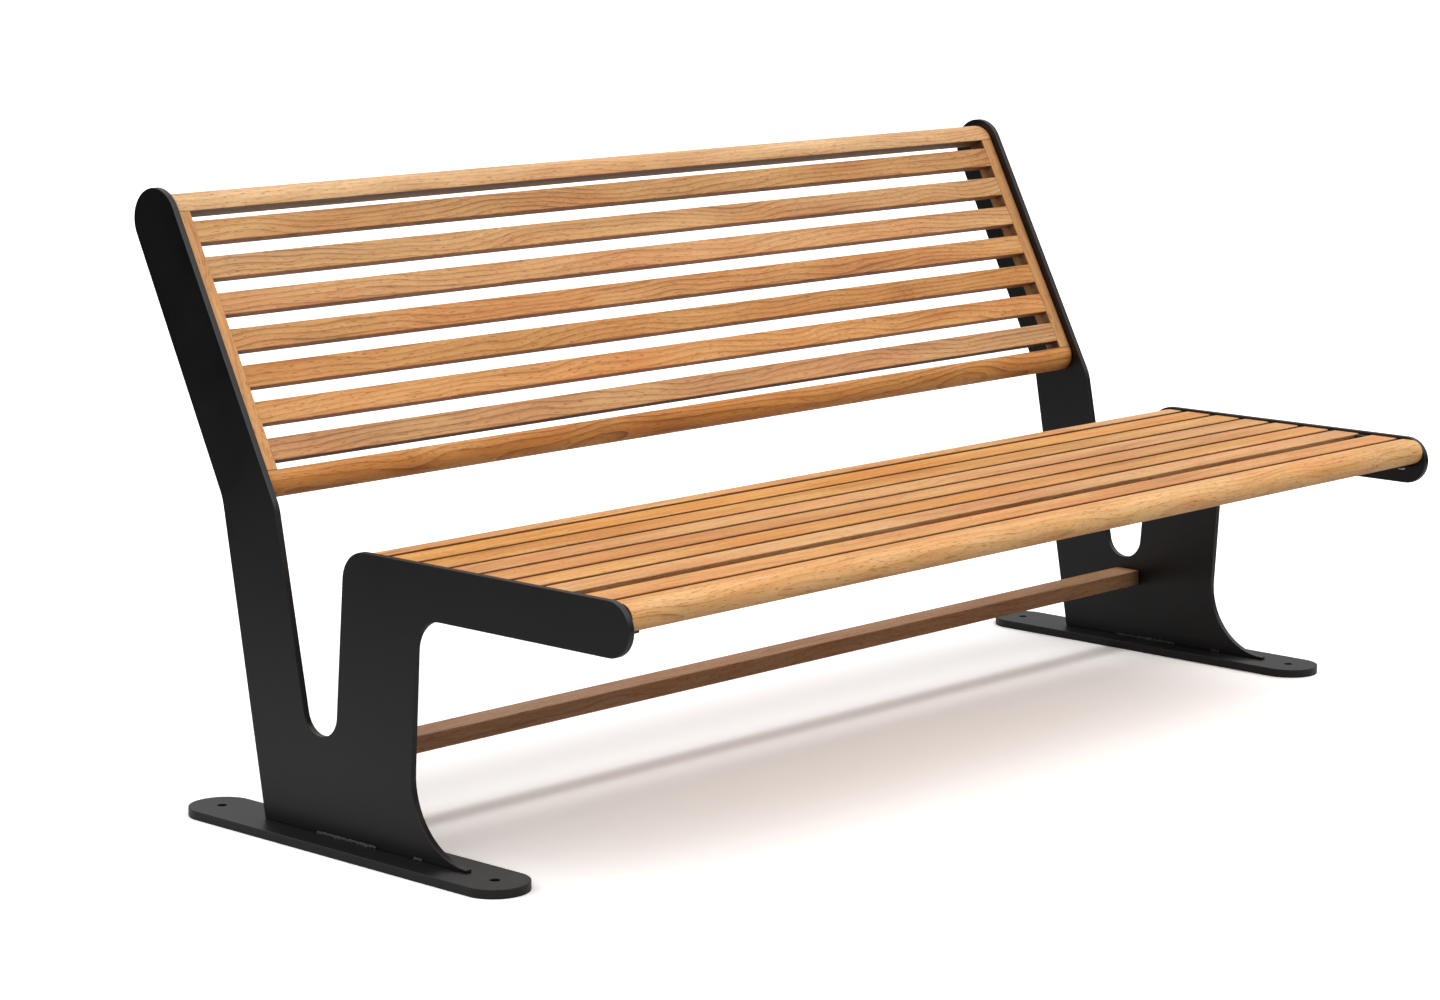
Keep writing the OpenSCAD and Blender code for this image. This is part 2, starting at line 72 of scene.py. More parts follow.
def plain_group(name, inputs, outputs):
    """A new shader node group with the named sockets."""
    group = bpy.data.node_groups.new(name, "ShaderNodeTree")
    for label, kind, value in inputs:
        socket = group.interface.new_socket(label, in_out="INPUT", socket_type=kind)
        if value is not None:
            socket.default_value = value
    for label, kind in outputs:
        group.interface.new_socket(label, in_out="OUTPUT", socket_type=kind)
    return group


def add_node(tree, kind, **settings):
    """A node of that kind; settings with a capital letter are input values."""
    node = tree.nodes.new(kind)
    for label, value in settings.items():
        name = label.replace("_", " ")
        if label[0].isupper():
            node.inputs[name].default_value = value
        else:
            setattr(node, label, value)
    return node


def scaled(tree, source, factors):
    """The vector times three factors, one for each direction."""
    node = add_node(tree, "ShaderNodeVectorMath", operation="MULTIPLY")
    tree.links.new(source, node.inputs[0])
    node.inputs[1].default_value = factors
    return node.outputs[0]


def worked(tree, operation, first, second, clamp=False):
    """A Math node; either side is a socket or a number."""
    node = add_node(tree, "ShaderNodeMath", operation=operation, use_clamp=clamp)
    for slot, value in zip(node.inputs, (first, second)):
        if isinstance(value, (int, float)):
            slot.default_value = value
        else:
            tree.links.new(value, slot)
    return node.outputs[0]


def remapped(tree, source, low, high, to_low, to_high):
    """The value moved from one range to another, clamped at both ends."""
    node = add_node(tree, "ShaderNodeMapRange")
    tree.links.new(source, node.inputs["Value"])
    for label, value in zip(("From Min", "From Max", "To Min", "To Max"), (low, high, to_low, to_high)):
        node.inputs[label].default_value = value
    return node.outputs["Result"]


def blended(tree, factor, first, second, blend="MIX"):
    """Two colours mixed by a factor; each is a socket or a colour."""
    node = add_node(tree, "ShaderNodeMix", data_type="RGBA", blend_type=blend)
    for index, value in ((0, factor), (6, first), (7, second)):
        if isinstance(value, (int, float, tuple)):
            node.inputs[index].default_value = value
        else:
            tree.links.new(value, node.inputs[index])
    return node.outputs[2]


def build_coat_group():
    """Powder coat: a fine orange peel, faint mottling and a painted highlight that makes the edges a little
    paler.
    """
    group = plain_group(
        "Powder coat skin",
        [
            ("Vector", "NodeSocketVector", None),
            ("Coat", "NodeSocketColor", (0.007, 0.007, 0.0075, 1)),
            ("Painted edge highlight", "NodeSocketColor", (0.03, 0.03, 0.032, 1)),
            ("Peel size", "NodeSocketFloat", 900.0),
            ("Edge", "NodeSocketFloat", 0.5),
        ],
        [("Color", "NodeSocketColor"), ("Roughness", "NodeSocketFloat"), ("Height", "NodeSocketFloat")],
    )
    given = group.nodes.new("NodeGroupInput")
    made = group.nodes.new("NodeGroupOutput")
    peel = add_node(group, "ShaderNodeTexNoise", Detail=2.0, Roughness=0.55)
    group.links.new(given.outputs["Vector"], peel.inputs["Vector"])
    group.links.new(given.outputs["Peel size"], peel.inputs["Scale"])
    cloud = add_node(group, "ShaderNodeTexNoise", Scale=7.0, Detail=4.0, Roughness=0.6)
    group.links.new(given.outputs["Vector"], cloud.inputs["Vector"])
    specks = add_node(group, "ShaderNodeTexNoise", Scale=2200.0, Detail=1.0)
    group.links.new(given.outputs["Vector"], specks.inputs["Vector"])
    soft = add_node(group, "ShaderNodeBevel", samples=4, Radius=0.0025)
    true = group.nodes.new("ShaderNodeNewGeometry")
    along = add_node(group, "ShaderNodeVectorMath", operation="DOT_PRODUCT")
    group.links.new(soft.outputs[0], along.inputs[0])
    group.links.new(true.outputs["Normal"], along.inputs[1])
    # Painted highlight: the coat turns paler where the surface bends round an edge, standing in for light
    # caught by the rim.
    corner = remapped(group, along.outputs["Value"], 0.995, 0.86, 0.0, 1.0)
    edge_highlight_mask = worked(group, "MULTIPLY", corner, given.outputs["Edge"])
    edge_highlight_mask = worked(group, "MULTIPLY", edge_highlight_mask, remapped(group, cloud.outputs[0], 0.35, 0.65, 0.55, 1.0))
    mottled = remapped(group, cloud.outputs[0], 0.3, 0.7, 0.75, 1.3)
    shaded = add_node(group, "ShaderNodeVectorMath", operation="SCALE")
    group.links.new(given.outputs["Coat"], shaded.inputs[0])
    group.links.new(mottled, shaded.inputs["Scale"])
    group.links.new(blended(group, edge_highlight_mask, shaded.outputs[0], given.outputs["Painted edge highlight"]), made.inputs["Color"])
    rough = worked(group, "ADD", remapped(group, cloud.outputs[0], 0.3, 0.7, 0.30, 0.40),
                   remapped(group, specks.outputs[0], 0.35, 0.65, -0.03, 0.05))
    group.links.new(rough, made.inputs["Roughness"])
    group.links.new(peel.outputs[0], made.inputs["Height"])
    return group


COAT_GROUP = build_coat_group()


def powder_coat(name, coat, edge_highlight, edge):
    """Black powder-coated steel, with a painted highlight along its edges."""
    material = bpy.data.materials.new(name)
    material.use_nodes = True
    tree = material.node_tree
    surface = tree.nodes["Principled BSDF"]
    place = tree.nodes.new("ShaderNodeTexCoord")
    skin = add_node(tree, "ShaderNodeGroup", node_tree=COAT_GROUP)
    tree.links.new(place.outputs["Object"], skin.inputs["Vector"])
    skin.inputs["Coat"].default_value = coat
    skin.inputs["Painted edge highlight"].default_value = edge_highlight
    skin.inputs["Edge"].default_value = edge
    bump = add_node(tree, "ShaderNodeBump", Strength=0.12, Distance=0.0003)
    tree.links.new(skin.outputs["Height"], bump.inputs["Height"])
    tree.links.new(bump.outputs[0], surface.inputs["Normal"])
    tree.links.new(skin.outputs["Color"], surface.inputs["Base Color"])
    tree.links.new(skin.outputs["Roughness"], surface.inputs["Roughness"])
    surface.inputs["Specular IOR Level"].default_value = 0.5
    return material


# The second colour of each coat is a painted highlight along its edges.
FRAME_COAT = powder_coat("satin black coat", (0.0048, 0.0048, 0.0054, 1), (0.036, 0.036, 0.038, 1), 0.8)


def deselect_all():
    bpy.ops.object.select_all(action="DESELECT")


def only(piece):
    """Makes a piece the one selected object."""
    deselect_all()
    piece.select_set(True)
    bpy.context.view_layer.objects.active = piece


def merged_copy(node, name):
    """A copy of a CAD node as a clean closed mesh, for edges to be eased on."""
    piece = bpy.data.objects.new(name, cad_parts[node].data.copy())
    bpy.context.scene.collection.objects.link(piece)
    only(piece)
    bpy.ops.object.mode_set(mode="EDIT")
    bpy.ops.mesh.select_all(action="SELECT")
    bpy.ops.mesh.remove_doubles(threshold=MERGE_TOLERANCE)
    bpy.ops.mesh.dissolve_limited(angle_limit=math.radians(FLAT_TOLERANCE))
    bpy.ops.mesh.customdata_custom_splitnormals_clear()
    bpy.ops.object.mode_set(mode="OBJECT")
    return piece


def ease_edges(piece, width, segments=2, angle=SHARP_ANGLE):
    """Rounds every sharp edge with an applied bevel and keeps the flat faces flat."""
    only(piece)
    bevel = piece.modifiers.new("eased", "BEVEL")
    bevel.width = width
    bevel.segments = segments
    bevel.limit_method = "ANGLE"
    bevel.angle_limit = math.radians(angle)
    bpy.ops.object.modifier_apply(modifier=bevel.name)
    bpy.ops.object.shade_smooth_by_angle(angle=math.radians(angle))
    flat = piece.modifiers.new("flat", "WEIGHTED_NORMAL")
    flat.keep_sharp = True
    bpy.ops.object.modifier_apply(modifier=flat.name)


def hand_over(piece, material, slot, *nodes):
    """Gives a finished piece its material and ties it to the frame in place of its nodes."""
    piece.data.materials.clear()
    piece.data.materials.append(material)
    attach(piece, "root")
    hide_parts(*nodes)


for side in ("left", "right"):
    plate = merged_copy(f"foot_plate_{side}", f"foot_{side}")
    ease_edges(plate, FOOT_EDGE, FINE_SEGMENTS)
    hand_over(plate, FRAME_COAT, "black_steel", f"foot_plate_{side}")

# ---------------------------------------------------------------- Side frames
# Upright, slot, leg and seat arm of each side are one 10 mm steel plate, cut to shape
# and powder coated. Its cut rim is eased all round and catches the light.
FRAME_EDGE = 1.1 * MM
for side in ("left", "right"):
    plate = merged_copy(f"side_frame_{side}", f"frame_{side}")
    ease_edges(plate, FRAME_EDGE, FINE_SEGMENTS)
    hand_over(plate, FRAME_COAT, "black_steel", f"side_frame_{side}")

# ---------------------------------------------------------------- Welds
# Stitches of fillet weld hold each side frame to its foot plate, inside and outside.
# They are coated with the frame, and the ripples of the bead still show.
RIPPLE_PITCH = 4.2 * MM
RIPPLE_UNEVEN = random.Random(17)
RIPPLE_SIZES = (0.68, 0.97)
RIPPLE_HEIGHTS = (0.85, 1.03)
RIPPLE_WIDTH = 0.7
RIPPLE_TURN = 8
RIPPLE_TURN_STEP = 2.1
BEAD_SET_IN = 0.3
BEAD_SINK = 0.2 * MM
# The weld coat's second colour is a painted highlight along the bead's edges.
WELD_COAT = powder_coat("coated weld", (0.006, 0.006, 0.006, 1), (0.06, 0.06, 0.058, 1), 1.0)


def loose_boxes(node):
    """Lowest and highest corner of each separate solid in a node, front to back."""
    probe = merged_copy(node, "probe")
    only(probe)
    bpy.ops.object.mode_set(mode="EDIT")
    bpy.ops.mesh.select_all(action="SELECT")
    bpy.ops.mesh.separate(type="LOOSE")
    bpy.ops.object.mode_set(mode="OBJECT")
    boxes = []
    for part in list(bpy.context.selected_objects):
        corners = [Vector(c) for c in part.bound_box]
        low = Vector([min(c[i] for c in corners) for i in range(3)])
        high = Vector([max(c[i] for c in corners) for i in range(3)])
        boxes.append((low, high))
        bpy.data.objects.remove(part)
    return sorted(boxes, key=lambda b: (round(b[0].y, 5), b[0].x))


def join_as(parts, name):
    """Joins parts into one piece."""
    deselect_all()
    for part in parts:
        part.select_set(True)
    bpy.context.view_layer.objects.active = parts[0]
    bpy.ops.object.join()
    piece = bpy.context.view_layer.objects.active
    piece.name = name
    return piece


for side in ("left", "right"):
    ripples = []
    plate_low, plate_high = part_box(f"side_frame_{side}")
    for low, high in loose_boxes(f"welds_{side}"):
        leg = high.z - low.z
        face = high.x if low.x < (plate_low.x + plate_high.x) / 2 else low.x
        count = max(2, round((high.y - low.y) / RIPPLE_PITCH))
        step = (high.y - low.y - 2 * BEAD_SET_IN * leg) / (count - 1)
        for i in range(count):
            y = low.y + BEAD_SET_IN * leg + i * step
            turn = math.radians(RIPPLE_TURN * math.sin(RIPPLE_TURN_STEP * i))
            deselect_all()
            bpy.ops.mesh.primitive_uv_sphere_add(
                segments=10, ring_count=6, radius=leg * RIPPLE_UNEVEN.uniform(*RIPPLE_SIZES),
                location=(face, y, low.z), rotation=(turn, 0, 0),
            )
            ripple = bpy.context.object
            ripple.scale = (1, RIPPLE_WIDTH, RIPPLE_UNEVEN.uniform(*RIPPLE_HEIGHTS))
            bpy.ops.object.transform_apply(location=True, rotation=True, scale=True)
            ripples.append(ripple)
    bead = join_as(ripples, f"weld_beads_{side}")
    only(bead)
    bpy.ops.object.mode_set(mode="EDIT")
    bpy.ops.mesh.select_all(action="SELECT")
    bpy.ops.mesh.bisect(
        plane_co=(0, 0, plate_low.z - BEAD_SINK), plane_no=(0, 0, 1), clear_inner=True, use_fill=True
    )
    bpy.ops.object.mode_set(mode="OBJECT")
    bpy.ops.object.shade_smooth()
    hand_over(bead, WELD_COAT, "black_steel", f"welds_{side}")

# ---------------------------------------------------------------- Bearers, tongues and angles
# Steel brackets on the inner faces of the side frames carry the wood: an angle under the
# slat ends, a tongue let into each end of the stretcher and an angle behind each stile.
BRACKET_EDGE = 0.5 * MM
for node in ("seat_bearer", "stretcher_tongue", "back_angle"):
    for side in ("left", "right"):
        bracket = merged_copy(f"{node}_{side}", f"{node}_iron_{side}")
        ease_edges(bracket, BRACKET_EDGE)
        hand_over(bracket, FRAME_COAT, "black_steel", f"{node}_{side}")

# ---------------------------------------------------------------- Stretcher
# A flat hardwood bar ties the side frames together low down. It is planed, its long
# edges are rounded and it is finished with oil like all the wood of the bench.
PLANED_ROUND = 1.5 * MM
PLANED_SEGMENTS = 3
END_EASE = 0.7 * MM
SHORTEST_LENGTH = 0.2
# How far the painted crevice shade reaches and how dark it makes the wood.
CREVICE_SHADE_REACH = 0.04
CREVICE_SHADE_SHARE = 0.92

def build_grain_group():
    """Planed hardwood with the grain along X: growth rings, fibres, pores, slow changes of tone and painted
    shade in crevices.
    """
    group = plain_group(
        "Hardwood grain",
        [
            ("Vector", "NodeSocketVector", None),
            ("Board", "NodeSocketFloat", 0.0),
            ("Pale", "NodeSocketColor", (0.62, 0.36, 0.16, 1)),
            ("Middle", "NodeSocketColor", (0.48, 0.25, 0.10, 1)),
            ("Dark", "NodeSocketColor", (0.24, 0.10, 0.035, 1)),
            ("Figure", "NodeSocketFloat", 1.0),
        ],
        [("Color", "NodeSocketColor"), ("Roughness", "NodeSocketFloat"), ("Height", "NodeSocketFloat")],
    )
    given = group.nodes.new("NodeGroupInput")
    made = group.nodes.new("NodeGroupOutput")
    shift = add_node(group, "ShaderNodeCombineXYZ")
    for index, reach in enumerate((31.0, 0.83, 0.57)):
        group.links.new(worked(group, "MULTIPLY", given.outputs["Board"], reach), shift.inputs[index])
    moved = add_node(group, "ShaderNodeVectorMath", operation="ADD")
    group.links.new(given.outputs["Vector"], moved.inputs[0])
    group.links.new(shift.outputs[0], moved.inputs[1])
    place = moved.outputs[0]

    sway = add_node(group, "ShaderNodeTexNoise", Scale=1.0, Detail=2.0, Roughness=0.5)
    group.links.new(scaled(group, place, (2.2, 6.0, 6.0)), sway.inputs["Vector"])
    centred = add_node(group, "ShaderNodeVectorMath", operation="SUBTRACT")
    group.links.new(sway.outputs["Color"], centred.inputs[0])
    centred.inputs[1].default_value = (0.5, 0.5, 0.5)
    bent = add_node(group, "ShaderNodeVectorMath", operation="ADD")
    group.links.new(place, bent.inputs[0])
    group.links.new(scaled(group, centred.outputs[0], (0.0, 0.085, 0.085)), bent.inputs[1])
    grown = bent.outputs[0]

    rings = add_node(
        group, "ShaderNodeTexWave", wave_type="RINGS", rings_direction="X", wave_profile="SAW",
        Scale=40.0, Distortion=0.7, Detail=2.0, Detail_Scale=2.0, Detail_Roughness=0.5,
    )
    group.links.new(scaled(group, grown, (0.05, 1.0, 1.0)), rings.inputs["Vector"])
    ring = remapped(group, rings.outputs["Fac"], 0.25, 1.0, 0.0, 1.0)
    ring = worked(group, "POWER", ring, 2.2)

    fibre = add_node(group, "ShaderNodeTexNoise", Scale=1.0, Detail=5.0, Roughness=0.68)
    group.links.new(scaled(group, grown, (16.0, 420.0, 420.0)), fibre.inputs["Vector"])
    streak = add_node(group, "ShaderNodeTexNoise", Scale=1.0, Detail=3.0, Roughness=0.55)
    group.links.new(scaled(group, grown, (3.2, 70.0, 70.0)), streak.inputs["Vector"])
    pores = add_node(group, "ShaderNodeTexNoise", Scale=1.0, Detail=2.0, Roughness=0.5)
    group.links.new(scaled(group, grown, (75.0, 1500.0, 1500.0)), pores.inputs["Vector"])
    pore = remapped(group, pores.outputs[0], 0.36, 0.30, 0.0, 1.0)
    flecks = add_node(group, "ShaderNodeTexNoise", Scale=1.0, Detail=1.0, Roughness=0.4)
    group.links.new(scaled(group, grown, (60.0, 640.0, 640.0)), flecks.inputs["Vector"])
    fleck = remapped(group, flecks.outputs[0], 0.39, 0.30, 0.0, 1.0)
    slow = add_node(group, "ShaderNodeTexNoise", Scale=1.0, Detail=2.0, Roughness=0.5)
    group.links.new(scaled(group, place, (1.7, 16.0, 16.0)), slow.inputs["Vector"])

    tone = worked(group, "MULTIPLY", ring, worked(group, "MULTIPLY", given.outputs["Figure"], 0.34))
    tone = worked(group, "ADD", tone, remapped(group, fibre.outputs[0], 0.25, 0.75, 0.0, 0.34))
    tone = worked(group, "ADD", tone, remapped(group, streak.outputs[0], 0.3, 0.7, -0.02, 0.34))
    tone = worked(group, "ADD", tone, remapped(group, slow.outputs[0], 0.35, 0.65, -0.16, 0.18), True)

    past_pale = remapped(group, tone, 0.0, 0.55, 0.0, 1.0)
    past_middle = remapped(group, tone, 0.55, 1.1, 0.0, 1.0)
    light = blended(group, past_pale, given.outputs["Pale"], given.outputs["Middle"])
    wood = blended(group, past_middle, light, given.outputs["Dark"])
    wood = blended(group, worked(group, "MULTIPLY", fleck, 0.55), wood, given.outputs["Dark"])
    wood = blended(group, worked(group, "MULTIPLY", pore, 0.35), wood, given.outputs["Dark"])

    drift = add_node(group, "ShaderNodeTexNoise", Scale=1.0, Detail=2.0, Roughness=0.5)
    group.links.new(scaled(group, place, (3.4, 12.0, 12.0)), drift.inputs["Vector"])
    reddish = blended(group, 1.0, wood, (0.97, 0.80, 0.64, 1), "MULTIPLY")
    wood = blended(group, remapped(group, drift.outputs[0], 0.44, 0.60, 0.0, 0.75), wood, reddish)

    own = add_node(group, "ShaderNodeTexWhiteNoise", noise_dimensions="1D")
    group.links.new(given.outputs["Board"], own.inputs["W"])
    # Painted shade: where an occlusion test finds other surfaces close, in the gaps and under the slats, the
    # wood is darkened.
    crevice = add_node(group, "ShaderNodeAmbientOcclusion", samples=8, Distance=CREVICE_SHADE_REACH)
    crevice_shade = remapped(group, crevice.outputs["AO"], 0.90, 0.45, 0.0, CREVICE_SHADE_SHARE)
    wood = blended(group, crevice_shade, wood, blended(group, 1.0, wood, (0.17, 0.095, 0.045, 1), "MULTIPLY"))
    turn = add_node(group, "ShaderNodeHueSaturation")
    group.links.new(wood, turn.inputs["Color"])
    group.links.new(remapped(group, own.outputs["Value"], 0.0, 1.0, 0.87, 1.09), turn.inputs["Value"])
    parts = add_node(group, "ShaderNodeSeparateColor")
    group.links.new(own.outputs["Color"], parts.inputs[0])
    group.links.new(remapped(group, parts.outputs[1], 0.0, 1.0, 0.494, 0.502), turn.inputs["Hue"])
    group.links.new(remapped(group, parts.outputs[2], 0.0, 1.0, 0.90, 1.03), turn.inputs["Saturation"])
    group.links.new(turn.outputs[0], made.inputs["Color"])

    rough = remapped(group, fibre.outputs[0], 0.3, 0.7, 0.44, 0.56)
    rough = worked(group, "ADD", rough, worked(group, "MULTIPLY", pore, 0.2))
    group.links.new(rough, made.inputs["Roughness"])
    height = remapped(group, fibre.outputs[0], 0.3, 0.7, 0.4, 0.75)
    height = worked(group, "SUBTRACT", height, worked(group, "MULTIPLY", pore, 0.5))
    height = worked(group, "SUBTRACT", height, worked(group, "MULTIPLY", fleck, 0.3))
    height = worked(group, "SUBTRACT", height, worked(group, "MULTIPLY", ring, 0.12))
    group.links.new(height, made.inputs["Height"])
    return group


GRAIN_GROUP = build_grain_group()


def hardwood(name, pale, middle, dark, figure, turned=(0.0, 0.0, 0.0)):
    """Oiled hardwood; turned brings the length of the piece to X."""
    material = bpy.data.materials.new(name)
    material.use_nodes = True
    tree = material.node_tree
    surface = tree.nodes["Principled BSDF"]
    place = tree.nodes.new("ShaderNodeTexCoord")
    mapping = add_node(tree, "ShaderNodeMapping")
    mapping.inputs["Rotation"].default_value = turned
    tree.links.new(place.outputs["Object"], mapping.inputs["Vector"])
    board = add_node(tree, "ShaderNodeAttribute", attribute_name="board")
    grain = add_node(tree, "ShaderNodeGroup", node_tree=GRAIN_GROUP)
    tree.links.new(mapping.outputs[0], grain.inputs["Vector"])
    tree.links.new(board.outputs["Fac"], grain.inputs["Board"])
    grain.inputs["Pale"].default_value = pale
    grain.inputs["Middle"].default_value = middle
    grain.inputs["Dark"].default_value = dark
    grain.inputs["Figure"].default_value = figure
    bump = add_node(tree, "ShaderNodeBump", Strength=0.35, Distance=0.0004)
    tree.links.new(grain.outputs["Height"], bump.inputs["Height"])
    tree.links.new(bump.outputs[0], surface.inputs["Normal"])
    tree.links.new(grain.outputs["Color"], surface.inputs["Base Color"])
    tree.links.new(grain.outputs["Roughness"], surface.inputs["Roughness"])
    surface.inputs["Specular IOR Level"].default_value = 0.4
    return material


def add_board(name, centre, size, lean=0.0):
    """A cube of that size about its own middle, for edges to be shaped on."""
    deselect_all()
    bpy.ops.mesh.primitive_cube_add(size=1, location=centre, rotation=(-lean, 0, 0))
    board = bpy.context.object
    board.name = name
    board.scale = size
    bpy.ops.object.transform_apply(location=False, rotation=False, scale=True)
    return board


def round_edges(piece, wanted, width, segments):
    """Bevels the edges of which both ends pass the test."""
    only(piece)
    bpy.ops.object.mode_set(mode="EDIT")
    bpy.ops.mesh.select_mode(type="EDGE")
    bpy.ops.mesh.select_all(action="DESELECT")
    bpy.ops.object.mode_set(mode="OBJECT")
    points = piece.data.vertices
    for edge in piece.data.edges:
        a, b = (points[i].co for i in edge.vertices)
        edge.select = wanted(a, b)
    bpy.ops.object.mode_set(mode="EDIT")
    bpy.ops.mesh.bevel(offset=width, segments=segments, affect="EDGES", clamp_overlap=True)
    bpy.ops.object.mode_set(mode="OBJECT")


def runs_along(a, b):
    """Is this edge along the bench?"""
    return abs(a.x - b.x) > SHORTEST_LENGTH


def settle(piece, seed):
    """Puts the place of a finished piece in its mesh and gives its wood a grain of its own."""
    only(piece)
    bpy.ops.object.transform_apply(location=True, rotation=True, scale=True)
    number = piece.data.attributes.new("board", "FLOAT", "POINT")
    for spot in number.data:
        spot.value = seed


PALE = (0.82, 0.455, 0.158, 1)
MIDDLE = (0.62, 0.290, 0.078, 1)
DARK = (0.21, 0.082, 0.018, 1)
# Paler copies of the wood colours: painted light, for the round fronts and tops that face the lamps.
PALE_PAINTED_LIGHT = (0.90, 0.57, 0.275, 1)
MIDDLE_PAINTED_LIGHT = (0.69, 0.38, 0.142, 1)
# The stretcher's wood is a darker copy of the seat wood: painted shade, as if the bar lay in the seat's
# shadow.
STRETCHER_WOOD_PAINTED_SHADE = hardwood(
    "stretcher wood painted darker as shade", (0.55, 0.33, 0.18, 1), (0.42, 0.22, 0.105, 1), (0.17, 0.078, 0.03, 1), 0.8
)

low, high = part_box("stretcher")
bar = add_board("stretcher_bar", (low + high) / 2, high - low)
round_edges(bar, runs_along, PLANED_ROUND, PLANED_SEGMENTS)
ease_edges(bar, END_EASE)
settle(bar, 0.37)
hand_over(bar, STRETCHER_WOOD_PAINTED_SHADE, "hardwood", "stretcher")

# ---------------------------------------------------------------- Seat slats
# Seven flat hardwood slats lie between a rear slat, rounded down at the back like the
# corner of the arm, and a nose slat with a full round front. Each is screwed from below.
SEAT_WOOD = hardwood("seat wood", PALE, MIDDLE, DARK, 0.75)
# The nose slat and the top rail take the same wood painted paler, as painted light on their rounded faces.
ROUNDED_WOOD_PAINTED_LIGHT = hardwood("rounded wood painted paler as light", PALE_PAINTED_LIGHT, MIDDLE_PAINTED_LIGHT, DARK, 0.9)
FLAT_SLATS = 7
SEAT_ROUND = 2 * MM
SEAT_SEGMENTS = 4
REAR_FLAT = 2 * MM
REAR_EASE = 1.2 * MM
REAR_SEGMENTS = 20
NOSE_EASE = 1.0 * MM
NOSE_VERTICES = 96


def upper_rear(a, b):
    """Is this the long edge at the top of the back?"""
    return runs_along(a, b) and min(a.y, b.y, a.z, b.z) > 0


low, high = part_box("seat_slat_rear")
size = high - low
rear = add_board("rear_slat", (low + high) / 2, size)
round_edges(rear, upper_rear, size.z - REAR_FLAT, REAR_SEGMENTS)
ease_edges(rear, REAR_EASE)
settle(rear, 0.11)
hand_over(rear, SEAT_WOOD, "hardwood", "seat_slat_rear")

for number in range(1, FLAT_SLATS + 1):
    low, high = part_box(f"seat_slat_{number}")
    slat = add_board(f"flat_slat_{number}", (low + high) / 2, high - low)
    round_edges(slat, runs_along, SEAT_ROUND, SEAT_SEGMENTS)
    ease_edges(slat, END_EASE)
    settle(slat, 1.23 + 0.77 * number)
    hand_over(slat, SEAT_WOOD, "hardwood", f"seat_slat_{number}")

low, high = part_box("seat_slat_nose")
radius = (high.z - low.z) / 2
deselect_all()
bpy.ops.mesh.primitive_cylinder_add(
    vertices=NOSE_VERTICES, radius=radius, depth=high.x - low.x, rotation=(0, math.radians(90), 0),
    location=((low.x + high.x) / 2, low.y + radius, (low.z + high.z) / 2),
)
nose = bpy.context.object
nose.name = "nose_slat"
bpy.ops.object.transform_apply(location=False, rotation=True, scale=True)
bpy.ops.object.mode_set(mode="EDIT")
bpy.ops.mesh.select_all(action="SELECT")
bpy.ops.mesh.bisect(plane_co=nose.location, plane_no=(0, 1, 0), clear_outer=True, use_fill=True)
bpy.ops.mesh.extrude_region_move(TRANSFORM_OT_translate={"value": (0, high.y - low.y - radius, 0)})
bpy.ops.object.mode_set(mode="OBJECT")
ease_edges(nose, NOSE_EASE)
settle(nose, 9.41)
hand_over(nose, ROUNDED_WOOD_PAINTED_LIGHT, "hardwood", "seat_slat_nose")

# ---------------------------------------------------------------- Spacers
# Small moulded blocks stand on the bearers between the slat ends and set the gaps.
# They are plain black plastic, pushed in and held by the slats on each side.
SPACER_EDGE = 0.5 * MM
SPACER_BLACK = (0.008, 0.008, 0.008, 1)
SPACER_DUST = (0.02, 0.019, 0.018, 1)

def moulded(name):
    """Matt black moulded plastic with a fine spark texture."""
    material = bpy.data.materials.new(name)
    material.use_nodes = True
    tree = material.node_tree
    surface = tree.nodes["Principled BSDF"]
    place = tree.nodes.new("ShaderNodeTexCoord")
    spark = add_node(tree, "ShaderNodeTexNoise", Scale=1600.0, Detail=3.0, Roughness=0.6)
    tree.links.new(place.outputs["Object"], spark.inputs["Vector"])
    dust = add_node(tree, "ShaderNodeTexNoise", Scale=60.0, Detail=3.0)
    tree.links.new(place.outputs["Object"], dust.inputs["Vector"])
    dusty = remapped(tree, dust.outputs[0], 0.4, 0.7, 0.0, 1.0)
    colour = blended(tree, dusty, SPACER_BLACK, SPACER_DUST)
    tree.links.new(colour, surface.inputs["Base Color"])
    tree.links.new(remapped(tree, spark.outputs[0], 0.3, 0.7, 0.5, 0.68), surface.inputs["Roughness"])
    bump = add_node(tree, "ShaderNodeBump", Strength=0.3, Distance=0.0002)
    tree.links.new(spark.outputs[0], bump.inputs["Height"])
    tree.links.new(bump.outputs[0], surface.inputs["Normal"])
    return material


SPACER_PLASTIC = moulded("spacer plastic")
for side in ("left", "right"):
    blocks = merged_copy(f"seat_spacers_{side}", f"spacer_blocks_{side}")
    ease_edges(blocks, SPACER_EDGE)
    hand_over(blocks, SPACER_PLASTIC, "spacer_plastic", f"seat_spacers_{side}")

# ---------------------------------------------------------------- Backrest frame
# Two full-length rails and two short stiles are dowelled and glued into a frame. The top
# rail is rounded over like the top of the uprights, the bottom rail along its lower edge.
first_low, first_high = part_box("back_slat_1")
last_low, last_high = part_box(f"back_slat_{FLAT_SLATS}")
up_panel = ((first_low + first_high) - (last_low + last_high)).normalized()
lean = math.atan2(up_panel.y, up_panel.z)
into_panel = Vector((0, math.cos(lean), -math.sin(lean)))
BACK_WOOD = hardwood("backrest wood", PALE, MIDDLE, DARK, 1.5)
STILE_WOOD = hardwood("stile wood", PALE, MIDDLE, DARK, 0.7, turned=(lean, math.radians(90), 0))

